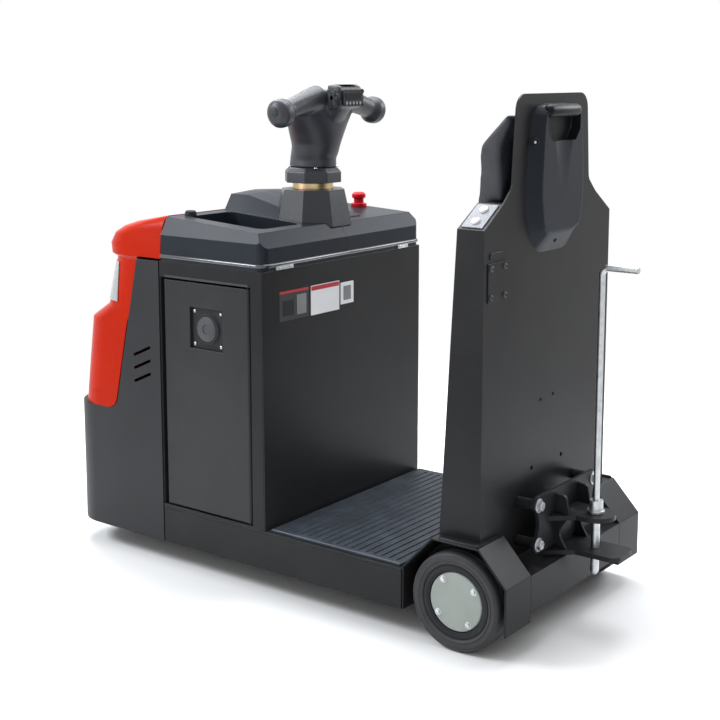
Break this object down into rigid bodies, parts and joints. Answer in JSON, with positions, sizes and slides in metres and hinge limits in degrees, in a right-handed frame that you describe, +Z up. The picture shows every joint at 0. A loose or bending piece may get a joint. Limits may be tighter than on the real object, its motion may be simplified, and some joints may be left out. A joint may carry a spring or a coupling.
{
  "type": "electric tow tractor",
  "caption": "Stand-on electric tow tractor with a battery cabinet, red nose hood, steering handle, tall back rest and a pin coupling at the rear.",
  "frame": {"origin": "on the ground, under the middle of the overall box", "axes": "+X forward to the red nose, +Y to the operator's left when facing forward (the door side), +Z up"},
  "size_m": [1.663, 0.72, 1.3598],
  "materials": {
    "body_paint": "satin black powder coat",
    "door_paint": "satin black powder coat",
    "mat_rubber": "ribbed slate grey rubber",
    "machined_steel": "machined",
    "battery_case": "moulded case",
    "socket_plastic": "matt moulded",
    "hood_plastic": "satin blue-grey moulding",
    "skirt_plastic": "satin dark grey moulding",
    "hood_red": "gloss red-orange moulding",
    "stop_red": "gloss red",
    "lamp_lens": "clear grey lens",
    "yellow_zinc": "yellow zinc plate",
    "handle_plastic": "matt moulded",
    "grip_rubber": "soft grip",
    "pad_skin": "integral skin foam",
    "jog_plate": "silver",
    "jog_button": "pale",
    "coupling_steel": "dark paint",
    "zinc_steel": "bright zinc plate",
    "tyre_rubber": "solid rubber",
    "rim_paint": "dark paint",
    "cap_metal": "light grey-green plate",
    "drive_casting": "painted casting"
  },
  "bodies": {
    "chassis": {"floor_plate": "body_paint", "side_rail_left": "body_paint", "side_rail_right": "body_paint", "cross_plates": "body_paint", "platform_mat": "mat_rubber", "fender_left": "body_paint", "fender_right": "body_paint", "kick_plate": "body_paint", "rear_plate": "body_paint", "stub_axles": "machined_steel", "cabinet_wall": "body_paint", "cabinet_left": "body_paint", "cabinet_right": "body_paint", "bulkhead": "body_paint", "battery": "battery_case", "top_hood_left": "hood_plastic", "top_hood_right": "hood_plastic", "emergency_stop": "stop_red", "front_skirt": "skirt_plastic", "front_hood": "hood_red", "head_lamp": "lamp_lens", "steering_pedestal": "hood_plastic", "steering_collar": "yellow_zinc", "backrest_shell": "body_paint", "backrest_front": "body_paint", "backrest_pad": "pad_skin", "pad_spacer": "socket_plastic", "rear_tray": "skirt_plastic", "jog_panel": "jog_plate", "jog_buttons": "jog_button", "cover_plate": "body_paint", "coupling_bracket": "coupling_steel", "coupling_bolts": "zinc_steel", "drive_plate": "coupling_steel"},
    "door": {"battery_door": "door_paint", "charge_socket": "socket_plastic"},
    "handle": {"handle_base": "handle_plastic", "handle_neck": "handle_plastic", "handle_bar": "grip_rubber", "handle_head": "handle_plastic"},
    "drive_unit": {"drive_fork": "drive_casting", "drive_motor": "drive_casting"},
    "drive_wheel": {"drive_tyre": "tyre_rubber", "drive_hub": "machined_steel"},
    "left_wheel": {"tyre_left": "tyre_rubber", "wheel_left": "rim_paint", "cap_left": "cap_metal"},
    "right_wheel": {"tyre_right": "tyre_rubber", "wheel_right": "rim_paint", "cap_right": "cap_metal"},
    "pin": {"tow_pin": "zinc_steel"}
  },
  "joints": [
    {"name": "door_hinge", "type": "hinge", "parent": "chassis", "child": "door", "pos_m": [0.1135, 0.352, 0.5], "axis": [0, 0, 1], "range_deg": [0, 105]},
    {"name": "drive_steer", "type": "hinge", "parent": "chassis", "child": "drive_unit", "pos_m": [0.5885, 0, 0.34], "axis": [0, 0, 1], "range_deg": [-90, 90]},
    {"name": "handle_steer", "type": "hinge", "parent": "chassis", "child": "handle", "pos_m": [0.1765, 0, 1.08], "axis": [0, 0, 1], "range_deg": [-90, 90]},
    {"name": "drive_spin", "type": "hinge", "parent": "drive_unit", "child": "drive_wheel", "pos_m": [0.5885, 0, 0.115], "axis": [0, 1, 0], "continuous": true},
    {"name": "left_spin", "type": "hinge", "parent": "chassis", "child": "left_wheel", "pos_m": [-0.5415, 0.317, 0.125], "axis": [0, 1, 0], "continuous": true},
    {"name": "right_spin", "type": "hinge", "parent": "chassis", "child": "right_wheel", "pos_m": [-0.5415, -0.317, 0.125], "axis": [0, 1, 0], "continuous": true},
    {"name": "pin_lift", "type": "slide", "parent": "chassis", "child": "pin", "axis": [0, 0, 1], "range_m": [0, 0.15]}
  ],
  "couplings": [
    {"joint": "handle_steer", "follows": "drive_steer", "ratio": 1}
  ]
}
